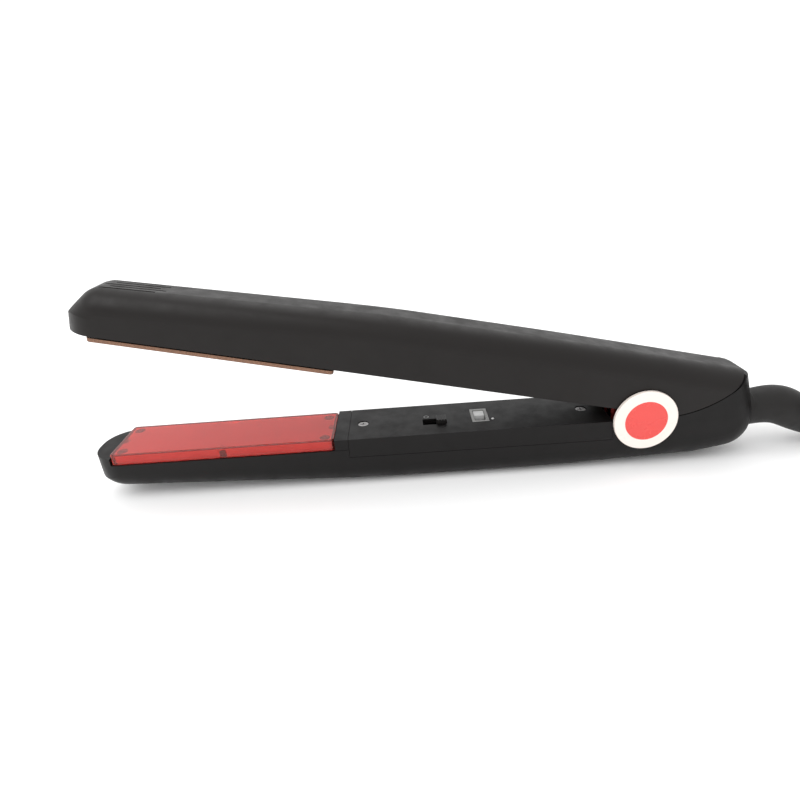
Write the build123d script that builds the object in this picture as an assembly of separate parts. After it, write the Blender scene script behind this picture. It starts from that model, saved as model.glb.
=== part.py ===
"""Hinged flat iron with a red light window in one arm and a floating hot plate in the other.

All sizes are millimetres.  The arms are drawn about the hinge: the hinge axis is Y, the tips
point to -X and the lead leaves towards +X.  The lower arm lies on its back, its mating face
level.  The upper arm is drawn closed and then opened about the hinge by OPEN_ANGLE.  The last
step moves everything so that the origin is under the middle of the iron, on the surface.
"""
import math
import os

from build123d import *

# ---------------------------------------------------------------- driving dimensions
TIP_REACH = 220.8        # hinge axis to either tip
REAR_REACH = 45.5        # hinge axis to the rear of the lower arm
BODY_WIDTH = 26.5
WALL = 2.0
EDGE_RADIUS = 8.5        # rounding of the back edges
NOSE_RADIUS = 12.0       # rounding of the nose in side view
NOSE_PLAN_RADIUS = 12.0  # rounding of the nose seen from above
OPEN_ANGLE = 12.8        # degrees between the arms at rest
CLOSED_GAP = 0.4         # hot plate to window with the arms shut
RUN_GAP = 0.3            # between pieces that move past each other
SEAM_GAP = 0.15          # joint line between fixed covers

# Lower arm, heights from the hinge axis
LOWER_FACE = -CLOSED_GAP / 2
BACK_Z = -21.8           # thickest stretch, which the iron lies on
TIP_BACK_Z = -16.8
REST_FRONT = 105.0       # the level stretch of the back, measured from the hinge
REST_REAR = 35.0
HEEL_X = 24.0            # where the back starts to rise to the rear
HEEL_Z = -19.8
REAR_LOW_Z = -16.0
REAR_MID_Z = -1.5
BLOCK_TOP_X = 41.0
BLOCK_TOP_Z = 14.0
REST_BLEND = 600.0
HEEL_BLEND = 24.0
REAR_RADIUS = 12.0

# Upper arm, heights from the hinge axis in the closed position
PLATE_FACE = CLOSED_GAP / 2
UPPER_FACE = 2.6         # face of the housing around the hot plate
CROWN_Z = 24.1
TIP_CROWN_Z = 19.1
TAIL_CROWN_Z = 23.3
CAM_X = -2.3             # centre of the round heel of the upper arm, in the closed position
CAM_Z = 42.45
CAM_RADIUS = 41.8
CAM_GAP = 0.4            # heel to cradle, the open stop
TAIL_END_X = 37.0        # blank length before the heel is cut
UPPER_NOSE_LOW = 8.0     # where the slant of the upper nose starts
UPPER_NOSE_RUN = 9.5     # length of that slant along the arm
UPPER_NOSE_RADIUS = 10.0

# Window side of the lower arm
WINDOW_FRONT = 211.7
WINDOW_REAR = 121.8
WINDOW_WIDTH = 25.0
WINDOW_SKIRT = 4.5
WINDOW_TOP = 1.0
WINDOW_WALL = 1.2
NOSE_DROP = 1.8          # nose top below the window top
SPREADER_THICK = 1.2
SPREADER_GAP = 0.15
SPREADER_WALL = 0.5
CORNER_SCREW_Y = 8.8
CORNER_SCREW_IN = 3.9    # screw centre from each end of the window
BOARD_THICK = 1.4
EMITTER_BOARD_Z = -6.6   # top of the light board
EMITTER_BOARD_WIDTH = 19.4
LED_RADIUS = 1.5
LED_HEIGHT = 3.0
LED_PER_ROW = 9
LED_ROW_Y = 4.2
SPACER_RADIUS = 1.75

# Cover of the lower arm
BRIDGE_REAR = WINDOW_REAR - 5.6   # end block between window and cover
BRIDGE_SKIRT = 4.0
COVER_REAR = 12.0
COVER_SKIRT = 8.0
COVER_THICK = 2.0
COVER_SCREW_FRONT = BRIDGE_REAR - 5.6
COVER_SCREW_REAR = 20.8
SCREW_HEAD_RADIUS = 2.1
SCREW_SHANK_RADIUS = 1.0
SCREW_HEAD_HEIGHT = 1.0
SCREW_RECESS_RADIUS = 2.3
SCREW_RECESS_DEPTH = 1.3
BOSS_RADIUS = 2.6
BOSS_BORE = 7.0
COVER_BOSS = 1.2         # thickening around each cover screw

# Controls
SWITCH_X = -81.1
SWITCH_Y = -2.6
SWITCH_SLOT_LENGTH = 9.8
SWITCH_SLOT_WIDTH = 5.0
KNOB_LENGTH = 4.0
KNOB_WIDTH = 4.4
KNOB_HEIGHT = 1.6        # above the hinge axis level
KNOB_CLEAR = 0.25
SELECTOR_X = -62.5
SELECTOR_Y = 0.4
SELECTOR_LENGTH = 7.0    # along the arm
SELECTOR_WIDTH = 11.6    # across the arm
SELECTOR_RIM = 1.1
SELECTOR_KNOB = 4.2
CONTROL_BOARD_Z = -8.6
CONTROL_BOARD_FRONT = 101.0
CONTROL_BOARD_REAR = 46.0
CONTROL_BOARD_WIDTH = 19.0
BOARD_SCREW_IN = 3.5
BOARD_SCREW_Y = 6.5
SWITCH_CASE_HEIGHT = 4.6
STEM = 1.8               # side of the stem under each knob
STEM_DEPTH = 2.3         # reach of the stem into its switch
SLOT_DEPTH = 2.6         # depth of the slot in each switch

# Hinge
PIN_RADIUS = 2.0
PIN_RUN = 0.05
BUSH_WALL = 1.2
EAR_RADIUS = 7.5
LOWER_EAR_IN = 8.6
LOWER_EAR_OUT = 10.9
UPPER_EAR_IN = 5.6
UPPER_EAR_OUT = 8.2
SPRING_WIRE = 0.6        # wire radius
SPRING_RADIUS = 3.3
SPRING_PITCH = 1.5
SPRING_TURNS = 5
SPRING_LEG = 9.0
CAP_RADIUS = 12.3
CAP_THICK = 1.5
CAP_INLAY_RADIUS = 8.2
CAP_INLAY_THICK = 0.5
CAP_SEAT = 1.0           # depth of the pin in each cap

# Hot plate
PLATE_FRONT = WINDOW_FRONT - 0.3
PLATE_REAR = WINDOW_REAR - 0.1
PLATE_WIDTH = 25.0
PLATE_SLAB = 1.6
PLATE_TRAVEL = 0.6
BED_WIDTH = 17.0
BED_FRONT = PLATE_FRONT - 4.8
BED_REAR = PLATE_REAR + 4.9
BED_TOP_Z = 5.2
CHANNEL_WIDTH = 12.6
CHANNEL_DEPTH = 1.9
HEATER_LENGTH = 56.0
HEATER_WIDTH = 12.0
HEATER_THICK = 1.4
MICA_THICK = 0.4
FRAME_THICK = 2.4
FRAME_CLEAR = 0.4
CLAMP_WIDTH = 20.6
CLAMP_THICK = 0.8
CUSHION_SIZE = 9.0
CUSHION_HEIGHT = 6.0
UPPER_COVER_FRONT = PLATE_REAR - 2.3
UPPER_COVER_THICK = 1.8
CLAMP_SCREW_IN = 3.2     # heater clamp screw from each end of the bed
FRAME_SCREW_OUT = 3.2    # frame screw beyond each end of the bed
FRAME_SCREW_Y = 7.6

# Grip grooves near the tip of the upper arm
GROOVE_COUNT = 5
GROOVE_PITCH = 2.6
GROOVE_WIDTH = 0.8
GROOVE_DEPTH = 0.6
GROOVE_LENGTH = 20.0
GROOVE_START = 12.0      # from the tip
GROOVE_STAGGER = 3.0     # every second groove starts this much later

# Wires
WIRE_RADIUS = 0.9
WIRE_BEND = 3.0
WIRE_Y = 3.9
HEATER_WIRE_X = -10.0    # where the heater's wires enter the upper arm, in the closed position
HEATER_WIRE_Z = 5.0

# Lead
CORD_RADIUS = 3.2
CORD_TAIL_X = 24.0       # inner end of the lead
BOOT_RADIUS = 7.8
BOOT_Z = -4.3
BOOT_FLANGE_RADIUS = 8.8
BOOT_FLANGE_THICK = 1.7
BOOT_FLANGE_X = REAR_REACH - WALL - 2.4     # outer face of the flange, inside the rear wall
CLAMP_X = 29.0
CLAMP_SCREW_Y = 7.0
TIE_THICK = 0.6
TIE_WIDTH = 10.0
TIE_X = 177.0
HANK_COLUMNS = 2         # the lead is put away in a long loop, two wide and four high
HANK_LAYERS = 4
HANK_FOLD = 20.0         # middle of the inner column at each fold
HANK_RUN = 70.0          # straight length between the folds
HANK_X = 122.0           # centre of the fold nearest the iron
HANK_Y = -15.0
PLUG_WIDTH = 35.0
PLUG_THICK = 13.6
PLUG_LENGTH = 33.0
PLUG_PIN_RADIUS = 2.0
PLUG_PIN_LENGTH = 19.0
PLUG_PIN_SPACING = 18.6
PLUG_X = 142.0
PLUG_Y = 1.5

# ---------------------------------------------------------------- worked out sizes
HALF = BODY_WIDTH / 2
INNER_HALF = HALF - WALL
CORD_DIAMETER = 2 * CORD_RADIUS
FLOOR_CORD_Z = BACK_Z + CORD_RADIUS
SHIFT = ((TIP_REACH - REAR_REACH) / 2, 0, -BACK_Z)
PARTS = {}

# Strain relief: x, z, radius and downward slope in degrees
BOOT_END = (88.0, 0.0, -17.4)
BOOT_STATIONS = [
    (REAR_REACH + 1.0, BOOT_Z, BOOT_RADIUS, 0.0),
    (58.5, BOOT_Z, 8.0, 4.0),
    (64.5, -6.3, 8.0, 22.0),
    (70.5, -10.2, 7.0, 33.0),
    (78.0, -14.3, 5.6, 24.0),
    (BOOT_END[0], BOOT_END[2], 4.0, 9.0),
]

# Heights of the put away lead
HANK_LOW = BACK_Z + TIE_THICK + 0.1
HANK_TOP = HANK_LOW + HANK_LAYERS * CORD_DIAMETER
PLUG_LOW = HANK_TOP + 0.2
PLUG_CORD_Z = PLUG_LOW + 4.0

# Lead from the strain relief to the hank, and from the hank's top to the plug
LEAD_ROUTE = [
    BOOT_END,
    (95.5, 0.2, -18.0),
    (103.5, 2.4, -18.2),
]
TAIL_ROUTE = [
    (150.0, -41.4, HANK_TOP - 0.3),
    (135.0, -41.4, PLUG_CORD_Z),
    (113.1, -41.4, PLUG_CORD_Z),
    (100.5, -28.8, PLUG_CORD_Z),
    (100.5, -11.1, PLUG_CORD_Z),
    (113.1, PLUG_Y, PLUG_CORD_Z),
    (PLUG_X - 4.0, PLUG_Y, PLUG_CORD_Z),
]

# Plug's sleeve: distance in front of its rear end, height, width and thickness
PLUG_SLEEVE = [
    (12.0, PLUG_THICK / 2, PLUG_WIDTH - 1.0, PLUG_THICK - 0.6),
    (4.0, 5.6, 13.0, 9.6),
    (-4.0, PLUG_CORD_Z - PLUG_LOW, 8.0, 7.8),
]


def box(x0, x1, y0, y1, z0, z1):
    """A box between two corners, given in any order."""
    size = (abs(x1 - x0), abs(y1 - y0), abs(z1 - z0))
    return Pos((x0 + x1) / 2, (y0 + y1) / 2, (z0 + z1) / 2) * Box(*size)


def rod_y(x, z, radius, y0, y1):
    """A round bar across the arm."""
    return Pos(x, (y0 + y1) / 2, z) * Rot(90, 0, 0) * Cylinder(radius, abs(y1 - y0))


def rod_x(y, z, radius, x0, x1):
    """A round bar along the arm."""
    return Pos((x0 + x1) / 2, y, z) * Rot(0, 90, 0) * Cylinder(radius, abs(x1 - x0))


def post(x, y, radius, z0, z1):
    """A round upright."""
    return Pos(x, y, (z0 + z1) / 2) * Cylinder(radius, abs(z1 - z0))


def prism(points, radii, half):
    """A side outline in X and Z, carried to both sides of the middle."""
    corners = [(x, 0, z) for x, z in points]
    outline = FilletPolyline(*corners, radius=radii, close=True)
    face = make_face(outline.edges())
    return extrude(face, amount=half, dir=(0, 1, 0), both=True)


def round_back(solid, half, radius, keep):
    """Rounds the outline edges of both side faces, but only the ones that keep accepts."""
    edges = [e for e in solid.edges() if abs(abs(e.center().Y) - half) < 1e-4 and keep(e)]
    return fillet(edges, radius)


def lower_block(inset):
    """The lower arm as a full body, or its hollow when inset by the wall."""
    front = -(TIP_REACH - inset)
    rear = REAR_REACH - inset
    slant = (BLOCK_TOP_X - REAR_REACH) / (BLOCK_TOP_Z - REAR_MID_Z)
    top = BLOCK_TOP_Z - inset
    step = cradle_centre()[0] - WALL
    points = [
        (front, LOWER_FACE),
        (front, TIP_BACK_Z + inset),
        (-REST_FRONT, BACK_Z + inset),
        (-REST_REAR, BACK_Z + inset),
        (HEEL_X, HEEL_Z + inset),
        (rear, REAR_LOW_Z + inset),
        (rear, REAR_MID_Z),
        (rear + slant * (top - REAR_MID_Z), top),
        (step, top),
        (step, LOWER_FACE),
    ]
    radii = [
        0, NOSE_RADIUS - inset, REST_BLEND, REST_BLEND, HEEL_BLEND,
        REAR_RADIUS - inset, HEEL_BLEND, 0, 0, 0,
    ]
    half = HALF - inset
    solid = prism(points, radii, half)

    def on_back(edge):
        middle = edge.center()
        level_face = abs(middle.Z - LOWER_FACE) < 1e-4
        block_top = abs(middle.Z - top) < 1e-4
        step_edge = abs(middle.X - step) < 1e-4
        return not (level_face or block_top or step_edge)

    solid = round_back(solid, half, EDGE_RADIUS - inset, on_back)
    return solid & nose_plan(inset)


def nose_plan(inset):
    """The rounded outline of the tip seen from above, as a tall block over the whole arm."""
    half = HALF - inset
    block = box(-(TIP_REACH - inset), REAR_REACH + 20, -half, half, BACK_Z - 10, CROWN_Z + 10)
    front = block.edges().filter_by(Axis.Z).sort_by(Axis.X)[:2]
    return fillet(front, NOSE_PLAN_RADIUS - inset)


def slanted_nose(inset):
    """The two ends of the slant of the upper nose, in X and Z."""
    rise = TIP_CROWN_Z - UPPER_NOSE_LOW
    slope = UPPER_NOSE_RUN / rise
    shift = inset * math.hypot(UPPER_NOSE_RUN, rise) / rise
    low_z = UPPER_NOSE_LOW + (inset - shift) / slope
    top_z = TIP_CROWN_Z - inset
    top_x = -TIP_REACH + shift + (top_z - UPPER_NOSE_LOW) * slope
    return [(-TIP_REACH + inset, low_z), (top_x, top_z)]


def upper_block(inset):
    """The upper arm as a full body in the closed position, or its hollow."""
    front = -(TIP_REACH - inset)
    points = [
        (front, UPPER_FACE),
        *slanted_nose(inset),
        (-REST_FRONT, CROWN_Z - inset),
        (-REST_REAR, CROWN_Z - inset),
        (TAIL_END_X, TAIL_CROWN_Z - inset),
        (TAIL_END_X, UPPER_FACE),
    ]
    nose = UPPER_NOSE_RADIUS - inset
    radii = [0, nose, nose, REST_BLEND, REST_BLEND, 0, 0]
    half = HALF - inset
    solid = prism(points, radii, half)

    def on_back(edge):
        middle = edge.center()
        level_face = abs(middle.Z - UPPER_FACE) < 1e-4
        tail_end = abs(middle.X - TAIL_END_X) < 1e-4
        return not (level_face or tail_end)

    solid = round_back(solid, half, EDGE_RADIUS - inset, on_back)
    heel_start = CAM_X + math.sqrt(CAM_RADIUS ** 2 - (CAM_Z - UPPER_FACE) ** 2)
    corner = box(heel_start, TAIL_END_X + 5, -HALF - 1, HALF + 1, UPPER_FACE - 5, CAM_Z)
    corner -= rod_y(CAM_X, CAM_Z, CAM_RADIUS - inset, -HALF - 2, HALF + 2)
    return (solid - corner) & nose_plan(inset)


def cradle_centre():
    """Where the centre of the round heel lies when the arms are open."""
    turn = math.radians(OPEN_ANGLE)
    across, along = math.cos(turn), math.sin(turn)
    return (CAM_X * across + CAM_Z * along, CAM_Z * across - CAM_X * along)


def cradle(extra):
    """The round space that the heel of the upper arm turns in, behind its lowest line."""
    x, z = cradle_centre()
    radius = CAM_RADIUS + CAM_GAP + extra
    wide = HALF + 2
    return rod_y(x, z, radius, -wide, wide) & box(x, x + radius, -wide, wide, z - radius, z)


def over_face():
    """All that is above the mating face in front of the cradle."""
    x = cradle_centre()[0]
    return box(-TIP_REACH, x, -HALF - 2, HALF + 2, LOWER_FACE, BLOCK_TOP_Z + 1)


def tilt(shape):
    """Opens a piece of the upper arm about the hinge."""
    return Rot(0, OPEN_ANGLE, 0) * shape


def lay(shape):
    """Moves a piece from the hinge's frame to the iron's own frame."""
    return Pos(*SHIFT) * shape


def keep(name, shape, upper=False):
    """Stores a finished piece in its place."""
    PARTS[name] = lay(tilt(shape) if upper else shape)


def group(shapes):
    """Several separate solids as one node."""
    return Compound(children=list(shapes))


def screw(x, y, z_head, length, up=1):
    """A pan head screw whose head top is at z_head and whose shank runs away from it."""
    head = post(x, y, SCREW_HEAD_RADIUS, z_head, z_head - up * SCREW_HEAD_HEIGHT)
    shank_end = z_head - up * (SCREW_HEAD_HEIGHT + length)
    shank = post(x, y, SCREW_SHANK_RADIUS, z_head - up * SCREW_HEAD_HEIGHT / 2, shank_end)
    slot = box(x - 1.3, x + 1.3, y - 0.25, y + 0.25, z_head + up, z_head - up * 0.5)
    cross = box(x - 0.25, x + 0.25, y - 1.3, y + 1.3, z_head + up, z_head - up * 0.5)
    return head + shank - slot - cross


# ---------------------------------------------------------------- lower arm
def corner_places():
    """The four screws under the window, as x and y."""
    ends = (-WINDOW_FRONT + CORNER_SCREW_IN, -WINDOW_REAR - CORNER_SCREW_IN)
    return [(x, y) for x in ends for y in (-CORNER_SCREW_Y, CORNER_SCREW_Y)]


def board_places():
    """The screws of the control board, as x and y."""
    xs = (-CONTROL_BOARD_FRONT + BOARD_SCREW_IN, -CONTROL_BOARD_REAR - BOARD_SCREW_IN)
    return [(x, y) for x in xs for y in (-BOARD_SCREW_Y, BOARD_SCREW_Y)]


def lower_shell():
    """The outer casing of the lower arm, with its bosses and hinge ears."""
    shell = lower_block(0) - cradle(0) - over_face()
    shell -= lower_block(WALL) - cradle(WALL)
    hinge_room = UPPER_EAR_OUT + RUN_GAP
    shell -= rod_y(0, 0, SPRING_LEG + 1.0, -hinge_room, hinge_room)
    wide = HALF + 5
    window_rim = LOWER_FACE - WINDOW_SKIRT - SEAM_GAP
    cover_rim = LOWER_FACE - COVER_SKIRT - SEAM_GAP
    shell -= box(-TIP_REACH - 5, -WINDOW_FRONT, -wide, wide, LOWER_FACE - NOSE_DROP, 5)
    shell -= box(-WINDOW_FRONT - SEAM_GAP, -BRIDGE_REAR, -wide, wide, window_rim, 5)
    shell -= box(-BRIDGE_REAR, -COVER_REAR + SEAM_GAP, -wide, wide, cover_rim, 5)
    nose = lower_block(0) & box(
        -TIP_REACH - 1, -WINDOW_FRONT - SEAM_GAP, -HALF, HALF,
        LOWER_FACE - NOSE_DROP - WALL, LOWER_FACE - NOSE_DROP,
    )
    shell += nose
    shell += lower_supports() & lower_block(WALL / 2)
    shell -= rod_y(0, 0, PIN_RADIUS, -HALF - 2, HALF + 2)
    for x, y, top in lower_boss_places():
        shell -= post(x, y, SCREW_SHANK_RADIUS, top + 1, top - BOSS_BORE)
    rear = REAR_REACH
    shell -= rod_x(0, BOOT_Z, BOOT_RADIUS + SEAM_GAP, rear - 2 * WALL, rear + 2 * WALL)
    return shell


def lower_boss_places():
    """Every screw boss in the lower arm, as x, y and the height of its top."""
    board = [(x, y, EMITTER_BOARD_Z - BOARD_THICK) for x, y in corner_places()]
    board += [(x, y, CONTROL_BOARD_Z - BOARD_THICK) for x, y in board_places()]
    cover_low = LOWER_FACE - COVER_THICK - COVER_BOSS - SEAM_GAP
    cover = [(x, 0, cover_low) for x in (-COVER_SCREW_FRONT, -COVER_SCREW_REAR)]
    clamp = [(CLAMP_X, y, BOOT_Z - CORD_RADIUS) for y in (-CLAMP_SCREW_Y, CLAMP_SCREW_Y)]
    return board + cover + clamp


def lower_supports():
    """The bosses and the two hinge ears, run down past the back so that they can be trimmed."""
    low = BACK_Z - 5
    supports = Part()
    for x, y, top in lower_boss_places():
        supports += post(x, y, BOSS_RADIUS, top, low)
    for side in (-1, 1):
        inner, outer = side * LOWER_EAR_IN, side * LOWER_EAR_OUT
        supports += rod_y(0, 0, EAR_RADIUS, inner, outer)
        supports += box(-EAR_RADIUS, EAR_RADIUS, inner, outer, 0, low)
        supports += box(-EAR_RADIUS, EAR_RADIUS, inner, side * HALF, LOWER_FACE, low)
    return supports


def inner_cover():
    """The cover behind the window, with slots for the two controls."""
    low = LOWER_FACE - COVER_SKIRT
    blank = box(-BRIDGE_REAR + SEAM_GAP, -COVER_REAR, -HALF, HALF, low, LOWER_FACE)
    cover = lower_block(0) & blank
    cover -= lower_block(WALL) & box(-TIP_REACH, 0, -HALF, HALF, low - 1, LOWER_FACE - COVER_THICK)
    for x in (-COVER_SCREW_FRONT, -COVER_SCREW_REAR):
        pad_low = LOWER_FACE - COVER_THICK - COVER_BOSS
        cover += post(x, 0, SCREW_RECESS_RADIUS + 1.2, LOWER_FACE - 0.5, pad_low)
        cover -= post(x, 0, SCREW_RECESS_RADIUS, LOWER_FACE + 1, LOWER_FACE - SCREW_RECESS_DEPTH)
        cover -= post(x, 0, SCREW_SHANK_RADIUS, LOWER_FACE + 1, LOWER_FACE - 10)
    length = SWITCH_SLOT_LENGTH / 2
    width = SWITCH_SLOT_WIDTH / 2
    cover -= box(
        SWITCH_X - length, SWITCH_X + length, SWITCH_Y - width, SWITCH_Y + width, 1, -10,
    )
    length = SELECTOR_LENGTH / 2
    width = SELECTOR_WIDTH / 2
    cover -= box(
        SELECTOR_X - length, SELECTOR_X + length, SELECTOR_Y - width, SELECTOR_Y + width, 1, -10,
    )
    return cover


def window_bridge():
    """The dark block that closes the arm between the window and the cover."""
    low = LOWER_FACE - BRIDGE_SKIRT
    blank = box(-WINDOW_REAR + SEAM_GAP, -BRIDGE_REAR, -HALF, HALF, low - 0.5, LOWER_FACE)
    bridge = lower_block(0) & blank
    hollow = lower_block(WALL) & box(-TIP_REACH, 0, -HALF, HALF, low - 5, LOWER_FACE - COVER_THICK)
    return bridge - hollow


def red_window():
    """The clear red cover over the lights: a shallow lid."""
    low = LOWER_FACE - WINDOW_SKIRT
    half = WINDOW_WIDTH / 2
    lid = box(-WINDOW_FRONT, -WINDOW_REAR, -half, half, low, LOWER_FACE)
    lid = fillet(lid.edges().filter_by(Axis.Z), 1.6)
    lid = fillet(lid.edges().group_by(Axis.Z)[-1], 0.6)
    inner = half - WINDOW_WALL
    cavity = box(
        -WINDOW_FRONT + WINDOW_WALL, -WINDOW_REAR - WINDOW_WALL, -inner, inner,
        low - 1, LOWER_FACE - WINDOW_TOP,
    )
    return lid - cavity


def spreader_plate():
    """The pale tray under the window, which spreads the light, with a notch in each side."""
    top = LOWER_FACE - WINDOW_TOP - SPREADER_GAP
    half = WINDOW_WIDTH / 2 - WINDOW_WALL - SPREADER_GAP
    front = -WINDOW_FRONT + WINDOW_WALL + SPREADER_GAP
    rear = -WINDOW_REAR - WINDOW_WALL - SPREADER_GAP
    low = LOWER_FACE - WINDOW_SKIRT
    plate = box(front, rear, -half, half, top, low)
    plate = fillet(plate.edges().filter_by(Axis.Z), 1.0)
    wall = SPREADER_WALL
    plate -= box(front + wall, rear - wall, wall - half, half - wall, top - SPREADER_THICK, low - 1)
    for x in (front, rear):
        plate -= post(x, 0, 2.0, top + 1, low - 1)
    for y in (-half, half):
        plate -= post((front + rear) / 2, y, 1.5, top + 1, low - 1)
    for x, y in corner_places():
        plate -= post(x, y, SCREW_HEAD_RADIUS, top + 1, top - SCREW_HEAD_HEIGHT)
        plate -= post(x, y, SCREW_SHANK_RADIUS, top + 1, top - 3)
    return plate


def window_screws():
    """Four screws that hold the spreader, the spacers and the light board."""
    top = LOWER_FACE - WINDOW_TOP - SPREADER_GAP
    return group([screw(x, y, top, 9.0) for x, y in corner_places()])


def window_spacers():
    """Four tubes between the light board and the spreader."""
    top = LOWER_FACE - WINDOW_TOP - SPREADER_GAP - SPREADER_THICK
    tubes = []
    for x, y in corner_places():
        tube = post(x, y, SPACER_RADIUS, top, EMITTER_BOARD_Z)
        tubes.append(tube - post(x, y, SCREW_SHANK_RADIUS, top + 1, EMITTER_BOARD_Z - 1))
    return group(tubes)


def emitter_board():
    """The circuit board that carries the lights."""
    front, rear = -WINDOW_FRONT + 1.6, -WINDOW_REAR - 1.6
    half = EMITTER_BOARD_WIDTH / 2
    board = box(front, rear, -half - 1.4, half + 1.4, EMITTER_BOARD_Z, EMITTER_BOARD_Z - BOARD_THICK)
    for x, y in corner_places():
        board -= post(x, y, SCREW_SHANK_RADIUS, 0, -20)
    return board


def emitters():
    """Two rows of small lights with round tops."""
    pitch = (WINDOW_FRONT - WINDOW_REAR - 22) / (LED_PER_ROW - 1)
    lights = []
    for row in (-LED_ROW_Y, LED_ROW_Y):
        for place in range(LED_PER_ROW):
            x = -WINDOW_FRONT + 11 + place * pitch
            light = post(x, row, LED_RADIUS, EMITTER_BOARD_Z, EMITTER_BOARD_Z + LED_HEIGHT)
            top_edge = light.edges().group_by(Axis.Z)[-1]
            lights.append(fillet(top_edge, LED_RADIUS * 0.8))
    return group(lights)


def cover_screws():
    """The two sunk screws of the cover."""
    head = LOWER_FACE - SCREW_RECESS_DEPTH + SCREW_HEAD_HEIGHT
    return group([screw(x, 0, head, 8.0) for x in (-COVER_SCREW_FRONT, -COVER_SCREW_REAR)])


def control_board():
    """The circuit board under the two controls."""
    half = CONTROL_BOARD_WIDTH / 2
    top = CONTROL_BOARD_Z
    board = box(-CONTROL_BOARD_FRONT, -CONTROL_BOARD_REAR, -half, half, top, top - BOARD_THICK)
    for x, y in board_places():
        board -= post(x, y, SCREW_SHANK_RADIUS, 0, -20)
    return board


def board_screws():
    """Four screws that hold the control board."""
    head = CONTROL_BOARD_Z + SCREW_HEAD_HEIGHT
    return group([screw(x, y, head, 5.0) for x, y in board_places()])


def board_parts():
    """The tall parts on the control board: film capacitor, relay, chip and power resistor."""
    top = CONTROL_BOARD_Z
    low = top - BOARD_THICK
    capacitor = box(-92, -88.5, -7.8, 7.8, low, low - 7)
    relay = box(-84, -69, -6, 6, low, low - 7.5)
    chip = box(-66, -59, -3, 3, low, low - 1.6)
    resistor = rod_y(-54, low - 2.2, 2.2, -4.0, 4.0)
    fuse = rod_y(-96.0, top + 1.6, 1.6, -3.5, 3.5)
    return group([capacitor, relay, chip, resistor, fuse])


def slide_case(x, y, along, across, slot_along, slot_across):
    """The body of a slide switch on the control board, with the slot that its slider runs in."""
    top = CONTROL_BOARD_Z + SWITCH_CASE_HEIGHT
    case = box(x - along / 2, x + along / 2, y - across / 2, y + across / 2, CONTROL_BOARD_Z, top)
    slot = box(
        x - slot_along / 2, x + slot_along / 2, y - slot_across / 2, y + slot_across / 2,
        top - SLOT_DEPTH, top + 1,
    )
    return case - slot


def switch_travel():
    """How far the on and off knob slides."""
    return SWITCH_SLOT_LENGTH - KNOB_LENGTH - 2 * KNOB_CLEAR


def switch_case():
    """The body of the on and off switch."""
    slot = switch_travel() + STEM + 2 * KNOB_CLEAR
    return slide_case(SWITCH_X, SWITCH_Y, slot + 3, 7.0, slot, STEM + 2 * KNOB_CLEAR)


def slider(x, y, along, across, top, low, stem_low):
    """A knob with a stem under it."""
    knob = box(x - along / 2, x + along / 2, y - across / 2, y + across / 2, low, top)
    stem = box(x - STEM / 2, x + STEM / 2, y - STEM / 2, y + STEM / 2, stem_low, low)
    return knob + stem


def switch_knob():
    """The on and off knob, at the end of its slot nearest the hinge, with gripping grooves."""
    x = SWITCH_X + switch_travel() / 2
    low = LOWER_FACE - COVER_THICK
    stem_low = CONTROL_BOARD_Z + SWITCH_CASE_HEIGHT - STEM_DEPTH
    knob = slider(x, SWITCH_Y, KNOB_LENGTH, KNOB_WIDTH, KNOB_HEIGHT, low, stem_low)
    for step in (-1, 0, 1):
        groove = x + step * 1.1
        knob -= box(groove - 0.2, groove + 0.2, -20, 20, KNOB_HEIGHT - 0.4, KNOB_HEIGHT + 1)
    return knob


def selector_rim():
    """The pale frame around the selector."""
    length = SELECTOR_LENGTH / 2 - SEAM_GAP / 2
    width = SELECTOR_WIDTH / 2 - SEAM_GAP / 2
    low = LOWER_FACE - COVER_THICK - 0.6
    rim = box(
        SELECTOR_X - length, SELECTOR_X + length, SELECTOR_Y - width, SELECTOR_Y + width,
        low, LOWER_FACE,
    )
    length -= SELECTOR_RIM
    width -= SELECTOR_RIM
    return rim - box(
        SELECTOR_X - length, SELECTOR_X + length, SELECTOR_Y - width, SELECTOR_Y + width,
        low - 1, 1,
    )


def selector_travel():
    """How far the selector knob slides across the arm."""
    return SELECTOR_WIDTH - SEAM_GAP - 2 * SELECTOR_RIM - SELECTOR_KNOB - 2 * KNOB_CLEAR


def selector_case():
    """The body of the selector switch."""
    slot = selector_travel() + STEM + 2 * KNOB_CLEAR
    return slide_case(SELECTOR_X, SELECTOR_Y, 6.4, slot + 3, STEM + 2 * KNOB_CLEAR, slot)


def selector_knob():
    """The pale selector knob, at the far end of its slot."""
    y = SELECTOR_Y + selector_travel() / 2
    along = SELECTOR_LENGTH - SEAM_GAP - 2 * SELECTOR_RIM - 2 * KNOB_CLEAR
    low = LOWER_FACE - COVER_THICK - 0.4
    stem_low = CONTROL_BOARD_Z + SWITCH_CASE_HEIGHT - STEM_DEPTH
    return slider(SELECTOR_X, y, along, SELECTOR_KNOB, LOWER_FACE - 0.3, low, stem_low)


# ---------------------------------------------------------------- hinge
def hinge_pin():
    """The pin through both arms, with its ends in the caps."""
    end = HALF + RUN_GAP + CAP_SEAT
    return rod_y(0, 0, PIN_RADIUS, -end, end)


def hinge_bushes():
    """A bush in each ear of the upper arm."""
    bore = PIN_RADIUS + PIN_RUN

    def bush(side):
        ring = rod_y(0, 0, bore + BUSH_WALL, side * UPPER_EAR_IN, side * UPPER_EAR_OUT)
        return ring - rod_y(0, 0, bore, side * (UPPER_EAR_IN - 1), side * (UPPER_EAR_OUT + 1))

    return group([bush(1), bush(-1)])


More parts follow.
